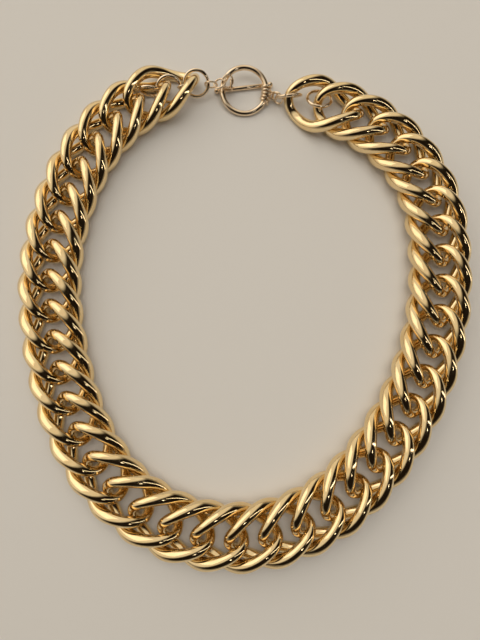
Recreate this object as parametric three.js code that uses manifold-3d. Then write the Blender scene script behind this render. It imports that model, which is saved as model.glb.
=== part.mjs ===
// Chain necklace: a closed loop of heavy twisted oval links, fastened with a toggle bar in a ring.
// Millimetres, +Z up, laid flat on a table: the clasp lies at +Y, the middle of the chain at -Y.
import * as THREE from "three";
import Module from "manifold-3d";

const wasm = await Module();
wasm.setup();

// One link: a round bar bent to an oval, with its two long limbs twisted out of flat.
// The bar is slim round the link's ends and fuller along its limbs.
const endRadius = 1.85;
const limbRadius = 2.3;
const linkHalfLength = 13.6;
const linkHalfWidth = 8.9;
const limbRise = 3.7;
const linkMidHeight = 5.15;
const endFullness = 0.07;
const sideFullness = -0.06;
const riseFullness = 0.03;
const linkSteps = 22;
const linkSides = 8;

// The line of the chain, from the link at the left of the clasp, round the bottom, to its right.
// Each pair is a number of links and the turn in degrees that each of them makes from the last.
const pitch = 10.9;
const firstLink = [-31.4, 79.5];
const firstHeading = -156;
const bends = [
  [2, 11.6],
  [2, 9.7],
  [5, 6.3],
  [3, 4.1],
  [2, 7.4],
  [7, 11.1],
  [2, 10.8],
  [7, 5.7],
  [2, 4.9],
  [6, 11.8],
];

// Jump rings in four sizes: [ring radius to the wire's centre, wire radius].
const largeRing = [4.55, 0.62];
const hookRing = [4.3, 0.62];
const smallRing = [2.2, 0.4];
const tinyRing = [1.9, 0.4];

// Every jump ring: its size, its centre, which way it points on the table, and how far it leans.
const jumpRings = [
  ["left_link_ring", largeRing, [-18.4, 82.1, 6.0], 1, 40],
  ["left_tiny_ring", tinyRing, [-23.5, 81.1, 5.4], 13, -69],
  ["left_second_ring", largeRing, [-28.7, 80.2, 5.25], 9, 42],
  ["left_third_ring", hookRing, [-36.0, 79.6, 4.9], -4, -77],
  ["bar_ring_outer", smallRing, [-12.9, 81.8, 5.7], -2, -82],
  ["bar_ring_middle", smallRing, [-9.6, 82.0, 6.15], 47, -19],
  ["bar_ring_inner", smallRing, [-6.6, 83.1, 5.9], 41, 50],
  ["wrap_ring", smallRing, [12.4, 78.3, 2.7], -36, 72],
  ["right_link_ring", largeRing, [16.3, 77.0, 5.8], 6, -60],
  ["right_second_ring", largeRing, [27.8, 76.1, 5.5], -12, -22],
];

// The toggle clasp: the bar lies on the table, and the ring leans on it.
const clasp = [-0.6, 83.6];
const barHeading = 7;
const barHalfLength = 10.3;
const barRadius = 0.9;
const barBallRadius = 1.15;
const barEye = { along: -4.8, rise: 2.45, lean: 1, radius: 1.95, wire: 0.4 };
const toggleRadius = 8.45;
const toggleWire = 1.05;
const toggleLean = 14;
const toggleBelowBar = 2.5;

// The wire wound round the ring's right side, and the loop it ends in.
const wrapWire = 0.45;
const wrapTurns = 4.5;
const wrapRadius = toggleWire + wrapWire + 0.1;
const wrapFrom = -36;
const wrapTo = 4;
const wrapEye = { at: -16, radius: 1.4, wire: 0.4, twist: 0 };

const degrees = Math.PI / 180;
const gold = new THREE.MeshStandardMaterial({ color: 0xd9b25f, metalness: 1, roughness: 0.15 });
const paleGold = new THREE.MeshStandardMaterial({ color: 0xe3c9a0, metalness: 1, roughness: 0.2 });

class LinkCurve extends THREE.Curve {
  getPoint(t, target = new THREE.Vector3()) {
    const a = 2 * Math.PI * t;
    const x = (linkHalfLength * (Math.cos(a) + endFullness * Math.cos(3 * a))) / (1 + endFullness);
    const y = (linkHalfWidth * (Math.sin(a) + sideFullness * Math.sin(3 * a))) / (1 - sideFullness);
    const z = -limbRise * (Math.sin(2 * a) + riseFullness * Math.sin(4 * a));
    return target.set(x, y, z);
  }
}

const linkCurve = new LinkCurve();

function fillLimbs(tube) {
  const points = tube.attributes.position;
  const point = new THREE.Vector3();
  for (let step = 0; step <= linkSteps; step += 1) {
    const centre = linkCurve.getPointAt(step / linkSteps);
    const fullness = (centre.y / linkHalfWidth) ** 2;
    const swell = 1 + (limbRadius / endRadius - 1) * fullness;
    for (let side = 0; side <= linkSides; side += 1) {
      const index = step * (linkSides + 1) + side;
      point.fromBufferAttribute(points, index).sub(centre).multiplyScalar(swell).add(centre);
      points.setXYZ(index, point.x, point.y, point.z);
    }
  }
  return tube;
}

// A ring lies flat at first; lean turns it up about its own length, then heading turns it on the table.
function layRing([ringRadius, wire], centre, heading, lean, tubeSides, steps) {
  const ring = new THREE.TorusGeometry(ringRadius, wire, tubeSides, steps);
  ring.rotateX(lean * degrees);
  ring.rotateZ(heading * degrees);
  ring.translate(...centre);
  return ring;
}

function solidFrom(geometry) {
  const points = geometry.attributes.position;
  const corners = geometry.index ? geometry.index.array : points.array.map((value, index) => index);
  const mesh = new wasm.Mesh({
    numProp: 3,
    vertProperties: new Float32Array(points.array),
    triVerts: new Uint32Array(corners.slice(0, geometry.index ? corners.length : points.count)),
  });
  mesh.merge();
  return new wasm.Manifold(mesh);
}

function geometryFrom(solid) {
  const mesh = solid.getMesh();
  const geometry = new THREE.BufferGeometry();
  geometry.setAttribute("position", new THREE.BufferAttribute(mesh.vertProperties, 3));
  geometry.setIndex(new THREE.BufferAttribute(mesh.triVerts, 1));
  geometry.computeVertexNormals();
  return geometry;
}

const necklace = new THREE.Group();
necklace.name = "chain_necklace";

function add(name, geometry, material) {
  const mesh = new THREE.Mesh(geometry, material);
  mesh.name = name;
  necklace.add(mesh);
  return mesh;
}

// The links, each turned from the last and one pitch further along.
const turns = bends.flatMap(([count, turn]) => Array(count).fill(turn));
let heading = firstHeading;
let [x, y] = firstLink;
for (let number = 1; number <= turns.length + 1; number += 1) {
  const link = fillLimbs(new THREE.TubeGeometry(linkCurve, linkSteps, endRadius, linkSides, true));
  link.rotateZ(heading * degrees);
  link.translate(x, y, linkMidHeight);
  const rested = solidFrom(link).trimByPlane([0, 0, 1], 0);
  add("link_" + String(number).padStart(2, "0"), geometryFrom(rested), gold);
  if (number <= turns.length) {
    const middle = (heading + turns[number - 1] / 2) * degrees;
    x += pitch * Math.cos(middle);
    y += pitch * Math.sin(middle);
    heading += turns[number - 1];
  }
}

// Everything that leans or turns with the toggle ring is laid out in the ring's own plane first.
const along = new THREE.Vector3(1, 0, 0).applyAxisAngle(new THREE.Vector3(0, 0, 1), barHeading * degrees);
const across = new THREE.Vector3(-along.y, along.x, 0);
const toggleHeight = toggleWire + toggleRadius * Math.sin(toggleLean * degrees);
const toggleCentre = new THREE.Vector3(...clasp, toggleHeight).addScaledVector(across, -toggleBelowBar);
const ontoTable = new THREE.Matrix4()
  .makeTranslation(toggleCentre.x, toggleCentre.y, toggleCentre.z)
  .multiply(new THREE.Matrix4().makeRotationZ(barHeading * degrees))
  .multiply(new THREE.Matrix4().makeRotationX(toggleLean * degrees));

add("toggle_ring", new THREE.TorusGeometry(toggleRadius, toggleWire, 8, 32).applyMatrix4(ontoTable), paleGold);

class WrapCurve extends THREE.Curve {
  getPoint(t, target = new THREE.Vector3()) {
    const round = (wrapFrom + (wrapTo - wrapFrom) * t) * degrees;
    const over = 2 * Math.PI * wrapTurns * t;
    const reach = toggleRadius + wrapRadius * Math.cos(over);
    return target.set(reach * Math.cos(round), reach * Math.sin(round), wrapRadius * Math.sin(over));
  }
}

const wireSection = new THREE.Shape();
for (let side = 0; side < 6; side += 1) {
  const a = (side * Math.PI) / 3;
  const corner = [wrapWire * Math.cos(a), wrapWire * Math.sin(a)];
  if (side === 0) wireSection.moveTo(...corner);
  else wireSection.lineTo(...corner);
}
const coil = new THREE.ExtrudeGeometry(wireSection, {
  steps: 64,
  extrudePath: new WrapCurve(),
  bevelEnabled: false,
});
const eyeReach = toggleRadius + wrapRadius + wrapEye.radius;
const endLoop = new THREE.TorusGeometry(wrapEye.radius, wrapEye.wire, 6, 14);
endLoop.rotateX(wrapEye.twist * degrees);
endLoop.translate(eyeReach, 0, 0);
endLoop.rotateZ(wrapEye.at * degrees);
const wrap = solidFrom(coil).add(solidFrom(endLoop));
add("ring_wrap", geometryFrom(wrap).applyMatrix4(ontoTable), paleGold);

// The bar with its two ball ends and the eye that the small rings hang on.
const rod = new THREE.CylinderGeometry(barRadius, barRadius, 2 * barHalfLength, 10);
rod.rotateZ(Math.PI / 2);
const balls = [-barHalfLength, barHalfLength].map((end) => {
  const ball = new THREE.SphereGeometry(barBallRadius, 10, 8);
  ball.rotateX(Math.PI / 2);
  return ball.translate(end, 0, 0);
});
const barLoop = new THREE.TorusGeometry(barEye.radius, barEye.wire, 6, 14);
barLoop.rotateY(Math.PI / 2);
barLoop.translate(0, 0, barEye.rise);
barLoop.rotateX(barEye.lean * degrees);
barLoop.translate(barEye.along, 0, 0);
const bar = [...balls, barLoop].reduce((solid, piece) => solid.add(solidFrom(piece)), solidFrom(rod));
const barGeometry = geometryFrom(bar);
barGeometry.rotateZ(barHeading * degrees);
barGeometry.translate(...clasp, barBallRadius);
add("toggle_bar", barGeometry, paleGold);

for (const [name, size, centre, turn, lean] of jumpRings) {
  const [sides, steps] = size === largeRing ? [8, 22] : [6, 16];
  add(name, layRing(size, centre, turn, lean, sides, steps), paleGold);
}

export default necklace;
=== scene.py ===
"""Chain necklace: polished gilt links laid in a loop and closed by a toggle bar in a ring."""

import math

import bmesh
import bpy
from mathutils import Matrix, Vector


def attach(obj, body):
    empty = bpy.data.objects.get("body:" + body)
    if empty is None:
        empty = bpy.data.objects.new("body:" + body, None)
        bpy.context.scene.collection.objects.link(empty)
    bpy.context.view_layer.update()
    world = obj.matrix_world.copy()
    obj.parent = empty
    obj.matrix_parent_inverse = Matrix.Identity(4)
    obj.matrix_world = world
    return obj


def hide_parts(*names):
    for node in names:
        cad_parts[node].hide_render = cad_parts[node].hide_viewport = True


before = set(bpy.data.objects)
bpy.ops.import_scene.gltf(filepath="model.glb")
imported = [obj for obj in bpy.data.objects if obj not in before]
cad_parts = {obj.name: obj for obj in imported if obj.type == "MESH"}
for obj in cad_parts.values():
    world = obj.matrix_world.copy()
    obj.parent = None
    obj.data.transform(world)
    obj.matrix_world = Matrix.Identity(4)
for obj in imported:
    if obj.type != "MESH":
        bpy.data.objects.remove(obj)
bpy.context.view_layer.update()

# Sizes are in millimetres and angles in degrees. Meshes are made in metres.
MM = 0.001

# The link: a bar bent to an oval, with its two long limbs twisted out of flat.
# The bar is slim round the link's ends and fuller along its limbs.
END_RADIUS = 1.77
LIMB_RADIUS = 2.23
LINK_HALF_LENGTH = 13.54
LINK_HALF_WIDTH = 8.8
LIMB_RISE = 3.5
LINK_MID_HEIGHT = 5.15
END_FULLNESS = 0.07
SIDE_FULLNESS = -0.06
RISE_FULLNESS = 0.03
LINK_STEPS = 132

# The line of the chain: a number of links, and the turn that each of them makes from the last.
PITCH = 10.9
FIRST_LINK = (-31.4, 79.5)
FIRST_HEADING = -156
BENDS = (
    (2, 11.6),
    (2, 9.7),
    (5, 6.3),
    (3, 4.1),
    (2, 7.4),
    (7, 11.1),
    (2, 10.8),
    (7, 5.7),
    (2, 4.9),
    (6, 11.8),
)

# Jump rings: radius to the wire's centre, and the wire's radius.
LARGE_RING = (4.55, 0.61)
HOOK_RING = (4.3, 0.59)
SMALL_RING = (2.2, 0.37)
TINY_RING = (1.9, 0.36)
JUMP_RINGS = (
    # name, size, centre, heading, lean, where its cut is
    ("left_link_ring", LARGE_RING, (-18.4, 82.1, 6.0), 1, 40, 200),
    ("left_tiny_ring", TINY_RING, (-23.5, 81.1, 5.4), 13, -69, 70),
    ("left_second_ring", LARGE_RING, (-28.7, 80.2, 5.25), 9, 42, 290),
    ("left_third_ring", HOOK_RING, (-36.0, 79.6, 4.9), -4, -77, 100),
    ("bar_ring_outer", SMALL_RING, (-12.9, 81.8, 5.7), -2, -82, 80),
    ("bar_ring_middle", SMALL_RING, (-9.6, 82.0, 6.15), 47, -19, 60),
    ("bar_ring_inner", SMALL_RING, (-6.6, 83.1, 5.9), 41, 50, 130),
    ("wrap_ring", SMALL_RING, (12.4, 78.3, 2.7), -36, 72, 80),
    ("right_link_ring", LARGE_RING, (16.3, 77.0, 5.8), 6, -60, 250),
    ("right_second_ring", LARGE_RING, (27.8, 76.1, 5.5), -12, -22, 140),
)
HALF_CUT = 0.05
CUT_STEP = 0.12
CUT_END_FULLNESS = 0.94

# The toggle bar: a ball at each end, a narrow neck beside it, and an eye for the small rings.
CLASP = (-0.6, 83.6)
BAR_HEADING = 7
BAR_HALF_LENGTH = 10.3
BAR_RADIUS = 0.85
BAR_BALL_RADIUS = 1.15
BALL_STEPS = 12
BALL_TIP = 0.02
BALL_INNER_EDGE = 0.75
BAR_NECK = ((0.95, 0.72), (1.2, 0.74), (1.35, BAR_RADIUS))
BAR_EYE = {"along": -4.8, "rise": 2.45, "lean": 1, "radius": 1.95, "wire": 0.37}

# The toggle ring, and the wire wound round its right side. The ring is placed by its CAD wire,
# and shown with one a little thinner.
TOGGLE_RADIUS = 8.45
TOGGLE_WIRE = 1.05
TOGGLE_WIRE_SEEN = 1.02
TOGGLE_LEAN = 14
TOGGLE_BELOW_BAR = 2.5
TOGGLE_STEPS = 144
WRAP_WIRE = 0.45
WRAP_TURNS = 4.5
WRAP_GAP = 0.1
WRAP_RADIUS = TOGGLE_WIRE + WRAP_WIRE + WRAP_GAP
WRAP_FROM = -36
WRAP_TO = 4
WRAP_STEPS = 220
WRAP_EYE = {"at": -16, "radius": 1.4, "wire": 0.37}

# How many points go round each section.
BAR_SIDES = 28
LINK_SIDES = 32
RING_SIDES = 18
WIRE_SIDES = 14
RING_STEPS = 72
EYE_STEPS = 60

# The metal's patterns: each noise's scale per metre, and the part of its range that is used.
DRIFT_SCALE = 180
DRIFT_RANGE = (0.3, 0.62)
RUB_DISTORTION = 0.6
RUB_RANGE = (0.35, 0.7)
RUB_DULLEST = 1.9
RIPPLE_SCALE = 260
RIPPLE_STRENGTH = 0.12
RIPPLE_DEPTH = 0.0003

# The table, the camera and the room, in metres and degrees.
TABLE_HALF = 4.0
TABLE_COLOUR = (0.70, 0.67, 0.62, 1)
TABLE_ROUGHNESS = 0.75
SENSOR_WIDTH = 36
LENS = 27.06
NEAREST_SEEN = 0.01
CAMERA_PLACE = (-0.00197, -0.03411, 0.1708)
CAMERA_TILT = 9
ROOM_STRENGTH = 0.78
WALL_WAY = (-0.62, 0.68, 0.38)
WALL_EDGE = (0.30, 0.52)
WALL_COLOUR = (1.0, 0.91, 0.78, 1)
DARK_COLOUR = (0.014, 0.010, 0.007, 1)
BAND_EDGE = (0.34, 0.12)
BAND_COLOUR = (0.40, 0.37, 0.33, 1)


def place_in_scene(name, data):
    obj = bpy.data.objects.new(name, data)
    bpy.context.scene.collection.objects.link(obj)
    return obj


# ---- camera ----
def add_camera():
    """A phone held over the necklace and tilted a little towards the clasp."""
    data = bpy.data.cameras.new("camera")
    data.sensor_width = SENSOR_WIDTH
    data.lens = LENS
    data.clip_start = NEAREST_SEEN
    camera = place_in_scene("camera", data)
    camera.location = CAMERA_PLACE
    camera.rotation_euler = (math.radians(CAMERA_TILT), 0, 0)
    bpy.context.scene.camera = camera


# ---- shapes ----
def ring_frames(points, closed):
    """A tangent and a side direction at each point, carried along with no sudden twist."""
    count = len(points)
    tangents = []
    for i in range(count):
        before = points[(i - 1) % count] if closed or i else points[0]
        after = points[(i + 1) % count] if closed or i < count - 1 else points[-1]
        tangents.append((after - before).normalized())
    side = tangents[0].orthogonal().normalized()
    sides = [side]
    for i in range(1, count):
        side = tangents[i - 1].rotation_difference(tangents[i]) @ side
        side = (side - tangents[i] * side.dot(tangents[i])).normalized()
        sides.append(side)
    if closed:
        last = tangents[-1].rotation_difference(tangents[0]) @ sides[-1]
        error = math.atan2(tangents[0].dot(last.cross(sides[0])), last.dot(sides[0]))
        for i in range(count):
            sides[i] = Matrix.Rotation(error * i / count, 3, tangents[i]) @ sides[i]
    return tangents, sides


def sweep(points, radii, around, closed):
    """A tube along points, with one radius per point; an open one is capped at both ends."""
    tangents, sides = ring_frames(points, closed)
    shape = bmesh.new()
    loops = []
    for point, tangent, side, radius in zip(points, tangents, sides, radii):
        up = tangent.cross(side)
        loop = []
        for k in range(around):
            a = 2 * math.pi * k / around
            offset = radius * (math.cos(a) * side + math.sin(a) * up)
            loop.append(shape.verts.new((point + offset) * MM))
        loops.append(loop)
    pairs = list(zip(loops, loops[1:]))
    if closed:
        pairs.append((loops[-1], loops[0]))
    for one, two in pairs:
        for k in range(around):
            n = (k + 1) % around
            shape.faces.new((one[k], one[n], two[n], two[k]))
    if not closed:
        shape.faces.new(loops[0][::-1])
        shape.faces.new(loops[-1])
    return shape


def piece(node, shapes, slot, body):
    """One visible object from one or more shapes, in place of a CAD node and riding on its body."""
    mesh = bpy.data.meshes.new("gilt_" + node)
    whole = bmesh.new()
    for shape in shapes:
        part = bpy.data.meshes.new("part")
        shape.to_mesh(part)
        whole.from_mesh(part)
        shape.free()
        bpy.data.meshes.remove(part)
    bmesh.ops.recalc_face_normals(whole, faces=whole.faces)
    whole.to_mesh(mesh)
    whole.free()
    for face in mesh.polygons:
        face.use_smooth = len(face.vertices) == 4
    mesh.materials.append(METALS[slot])
    obj = place_in_scene("gilt_" + node, mesh)
    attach(obj, body)
    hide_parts(node)


def laid(centre, turn, lean):
    """A plane that leans about its own length, is turned on the table, and then put at centre."""
    return (
        Matrix.Translation(Vector(centre))
        @ Matrix.Rotation(math.radians(turn), 4, "Z")
        @ Matrix.Rotation(math.radians(lean), 4, "X")
    )


def circle(radius, steps, onto):
    turn = 2 * math.pi / steps
    angles = [turn * i for i in range(steps)]
    return [onto @ Vector((radius * math.cos(a), radius * math.sin(a), 0)) for a in angles]


def closed_ring(radius, wire, steps, around, onto):
    return sweep(circle(radius, steps, onto), [wire] * steps, around, True)


# ---- materials ----
def noise(tree, place, scale, detail, distortion=0.0):
    node = tree.nodes.new("ShaderNodeTexNoise")
    node.inputs["Scale"].default_value = scale
    node.inputs["Detail"].default_value = detail
    node.inputs["Distortion"].default_value = distortion
    tree.links.new(place.outputs["Object"], node.inputs["Vector"])
    return node


def spread(tree, source, low, high, to_low=0.0, to_high=1.0):
    """Stretch a value from low..high to to_low..to_high."""
    node = tree.nodes.new("ShaderNodeMapRange")
    node.inputs["From Min"].default_value = low
    node.inputs["From Max"].default_value = high
    node.inputs["To Min"].default_value = to_low
    node.inputs["To Max"].default_value = to_high
    tree.links.new(source, node.inputs["Value"])
    return node.outputs["Result"]


def polished(name, colour, deep, roughness, rub_scale):
    """Plated metal: a slow drift of colour, fine rub marks in the gloss, and a faint ripple."""
    material = bpy.data.materials.new(name)
    material.use_nodes = True
    tree = material.node_tree
    shader = tree.nodes["Principled BSDF"]
    shader.inputs["Metallic"].default_value = 1.0
    place = tree.nodes.new("ShaderNodeTexCoord")

    drift = noise(tree, place, DRIFT_SCALE, 3)
    tint = tree.nodes.new("ShaderNodeMix")
    tint.data_type = "RGBA"
    tint.inputs[6].default_value = (*deep, 1)
    tint.inputs[7].default_value = (*colour, 1)
    tree.links.new(spread(tree, drift.outputs["Fac"], *DRIFT_RANGE), tint.inputs[0])
    tree.links.new(tint.outputs[2], shader.inputs["Base Color"])

    rub = noise(tree, place, rub_scale, 5, RUB_DISTORTION)
    dullest = roughness * RUB_DULLEST
    gloss = spread(tree, rub.outputs["Fac"], *RUB_RANGE, roughness, dullest)
    tree.links.new(gloss, shader.inputs["Roughness"])

    ripple = noise(tree, place, RIPPLE_SCALE, 1)
    bump = tree.nodes.new("ShaderNodeBump")
    bump.inputs["Strength"].default_value = RIPPLE_STRENGTH
    bump.inputs["Distance"].default_value = RIPPLE_DEPTH
    tree.links.new(ripple.outputs["Fac"], bump.inputs["Height"])
    tree.links.new(bump.outputs["Normal"], shader.inputs["Normal"])
    return material


# ---- the links ----
def link_points():
    points = []
    for i in range(LINK_STEPS):
        a = 2 * math.pi * i / LINK_STEPS
        x = LINK_HALF_LENGTH * (math.cos(a) + END_FULLNESS * math.cos(3 * a)) / (1 + END_FULLNESS)
        y = LINK_HALF_WIDTH * (math.sin(a) + SIDE_FULLNESS * math.sin(3 * a)) / (1 - SIDE_FULLNESS)
        z = -LIMB_RISE * (math.sin(2 * a) + RISE_FULLNESS * math.sin(4 * a))
        points.append(Vector((x, y, z)))
    return points


def add_links():
    """The chain, with each link turned from the last and one pitch further along."""
    swell = LIMB_RADIUS - END_RADIUS
    flat_points = link_points()
    radii = [END_RADIUS + swell * (p.y / LINK_HALF_WIDTH) ** 2 for p in flat_points]
    turns = [turn for count, turn in BENDS for _ in range(count)]
    heading = FIRST_HEADING
    spot = Vector((*FIRST_LINK, LINK_MID_HEIGHT))
    for number in range(1, len(turns) + 2):
        turned = laid(spot, heading, 0)
        shape = sweep([turned @ p for p in flat_points], radii, LINK_SIDES, True)
        for vertex in shape.verts:
            vertex.co.z = max(vertex.co.z, 0)
        node = "link_%02d" % number
        piece(node, [shape], "link_gold", node)
        if number <= len(turns):
            middle = math.radians(heading + turns[number - 1] / 2)
            spot = spot + PITCH * Vector((math.cos(middle), math.sin(middle), 0))
            heading += turns[number - 1]


# ---- the jump rings ----
def split_ring(radius, wire, onto, cut):
    """A ring of wire whose two cut ends nearly meet, one a hair above the other."""
    gap = math.asin(HALF_CUT / radius)
    points = []
    for i in range(RING_STEPS + 1):
        t = i / RING_STEPS
        a = math.radians(cut) + gap + (2 * math.pi - 2 * gap) * t
        rise = wire * CUT_STEP * (t - 0.5)
        points.append(onto @ Vector((radius * math.cos(a), radius * math.sin(a), rise)))
    radii = [wire] * (RING_STEPS + 1)
    radii[0] = radii[-1] = wire * CUT_END_FULLNESS
    return sweep(points, radii, RING_SIDES, False)


def add_jump_rings():
    for node, (radius, wire), centre, turn, lean, cut in JUMP_RINGS:
        shape = split_ring(radius, wire, laid(centre, turn, lean), cut)
        piece(node, [shape], "fitting_gold", node)


# ---- the toggle ring and its wrap ----
def toggle_plane():
    """The plane of the toggle ring, which leans on the bar."""
    way = math.radians(BAR_HEADING)
    across = Vector((-math.sin(way), math.cos(way), 0))
    height = TOGGLE_WIRE + TOGGLE_RADIUS * math.sin(math.radians(TOGGLE_LEAN))
    centre = Vector((*CLASP, height)) - TOGGLE_BELOW_BAR * across
    return laid(centre, BAR_HEADING, TOGGLE_LEAN)


def wound_wire(plane):
    points = []
    for i in range(WRAP_STEPS + 1):
        t = i / WRAP_STEPS
        round_ring = math.radians(WRAP_FROM + (WRAP_TO - WRAP_FROM) * t)
        over = 2 * math.pi * WRAP_TURNS * t
        reach = TOGGLE_RADIUS + WRAP_RADIUS * math.cos(over)
        x = reach * math.cos(round_ring)
        y = reach * math.sin(round_ring)
        points.append(plane @ Vector((x, y, WRAP_RADIUS * math.sin(over))))
    return sweep(points, [WRAP_WIRE] * (WRAP_STEPS + 1), WIRE_SIDES, False)


def add_toggle_ring():
    plane = toggle_plane()
    ring = closed_ring(TOGGLE_RADIUS, TOGGLE_WIRE_SEEN, TOGGLE_STEPS, BAR_SIDES, plane)
    piece("toggle_ring", [ring], "fitting_gold", "toggle_ring")
    reach = TOGGLE_RADIUS + WRAP_RADIUS + WRAP_EYE["radius"]
    turned = plane @ Matrix.Rotation(math.radians(WRAP_EYE["at"]), 4, "Z")
    eye_plane = turned @ Matrix.Translation((reach, 0, 0))
    eye = closed_ring(WRAP_EYE["radius"], WRAP_EYE["wire"], EYE_STEPS, WIRE_SIDES, eye_plane)
    piece("ring_wrap", [wound_wire(plane), eye], "fitting_gold", "toggle_ring")


# ---- the toggle bar ----
def bar_profile():
    """Distance along the bar and radius, from one ball's tip over its neck to the other's."""
    ball = []
    for i in range(BALL_STEPS + 1):
        a = math.pi * i / BALL_STEPS
        along = -BAR_HALF_LENGTH - BAR_BALL_RADIUS * math.cos(a)
        ball.append((along, max(BALL_TIP, BAR_BALL_RADIUS * math.sin(a))))
    half = [p for p in ball if p[0] <= BALL_INNER_EDGE - BAR_HALF_LENGTH]
    half += [(step - BAR_HALF_LENGTH, radius) for step, radius in BAR_NECK]
    return half + [(-along, radius) for along, radius in reversed(half)]


def add_toggle_bar():
    plane = laid((*CLASP, BAR_BALL_RADIUS), BAR_HEADING, 0)
    profile = bar_profile()
    points = [plane @ Vector((along, 0, 0)) for along, _ in profile]
    bar = sweep(points, [radius for _, radius in profile], BAR_SIDES, False)
    eye_plane = (
        plane
        @ laid((BAR_EYE["along"], 0, 0), 0, BAR_EYE["lean"])
        @ Matrix.Translation((0, 0, BAR_EYE["rise"]))
        @ Matrix.Rotation(math.radians(90), 4, "Y")
    )
    eye = closed_ring(BAR_EYE["radius"], BAR_EYE["wire"], EYE_STEPS, WIRE_SIDES, eye_plane)
    piece("toggle_bar", [bar, eye], "fitting_gold", "toggle_bar")


# ---- the table ----
def add_table():
    mesh = bpy.data.meshes.new("table")
    near, far = -TABLE_HALF, TABLE_HALF
    corners = [(near, near, 0), (far, near, 0), (far, far, 0), (near, far, 0)]
    mesh.from_pydata(corners, [], [(0, 1, 2, 3)])
    table = place_in_scene("table", mesh)
    paint = bpy.data.materials.new("table_paint")
    paint.use_nodes = True
    shader = paint.node_tree.nodes["Principled BSDF"]
    shader.inputs["Base Color"].default_value = TABLE_COLOUR
    shader.inputs["Roughness"].default_value = TABLE_ROUGHNESS
    mesh.materials.append(paint)


# ---- light ----
def panel(name, place, size, power, colour):
    """A rectangular light that faces the middle of the table."""
    light = bpy.data.lights.new(name, "AREA")
    light.shape = "RECTANGLE"
    light.size, light.size_y = size
    light.energy = power
    light.color = colour
    obj = place_in_scene(name, light)
    obj.location = place
    obj.rotation_euler = (-Vector(place)).to_track_quat("-Z", "Y").to_euler()
    return obj


def add_panels():
    panel("key", (-0.62, 0.52, 0.62), (1.1, 0.8), 1.9, (1.0, 0.94, 0.86))
    panel("strip", (0.62, -0.1, 0.42), (0.05, 0.9), 0.5, (1.0, 0.95, 0.88))
    panel("window", (0.32, -0.42, 0.9), (0.05, 0.12), 0.16, (1.0, 0.97, 0.92))
    # The last one lights the table alone: the polished metal doesn't mirror it.
    fill = panel("table_fill", (0.1, 0.1, 1.2), (1.0, 1.0), 5.5, (1.0, 0.97, 0.93))
    fill.visible_glossy = False


def add_room():
    """A white wall on the far left, a dark room on the near right, and a pale band low all round."""
    world = bpy.data.worlds.new("studio")
    bpy.context.scene.world = world
    world.use_nodes = True
    tree = world.node_tree
    background = tree.nodes["Background"]
    background.inputs["Strength"].default_value = ROOM_STRENGTH
    toward = tree.nodes.new("ShaderNodeTexCoord")

    facing = tree.nodes.new("ShaderNodeVectorMath")
    facing.operation = "DOT_PRODUCT"
    facing.inputs[1].default_value = Vector(WALL_WAY).normalized()
    tree.links.new(toward.outputs["Generated"], facing.inputs[0])
    wall = tree.nodes.new("ShaderNodeValToRGB")
    dark, lit = wall.color_ramp.elements
    dark.position, lit.position = WALL_EDGE
    dark.color = DARK_COLOUR
    lit.color = WALL_COLOUR
    tree.links.new(facing.outputs["Value"], wall.inputs["Fac"])

    height = tree.nodes.new("ShaderNodeSeparateXYZ")
    tree.links.new(toward.outputs["Generated"], height.inputs[0])
    band = tree.nodes.new("ShaderNodeMix")
    band.data_type = "RGBA"
    band.blend_type = "LIGHTEN"
    band.inputs[7].default_value = BAND_COLOUR
    tree.links.new(spread(tree, height.outputs["Z"], *BAND_EDGE), band.inputs[0])
    tree.links.new(wall.outputs["Color"], band.inputs[6])
    tree.links.new(band.outputs[2], background.inputs["Color"])


METALS = {
    "link_gold": polished("link_gold", (0.93, 0.73, 0.42), (0.88, 0.66, 0.35), 0.08, 900),
    "fitting_gold": polished("fitting_gold", (0.93, 0.77, 0.56), (0.82, 0.64, 0.44), 0.11, 1400),
}

add_camera()
add_links()
add_jump_rings()
add_toggle_ring()
add_toggle_bar()
add_table()
add_panels()
add_room()
bpy.context.scene.view_settings.view_transform = "Standard"
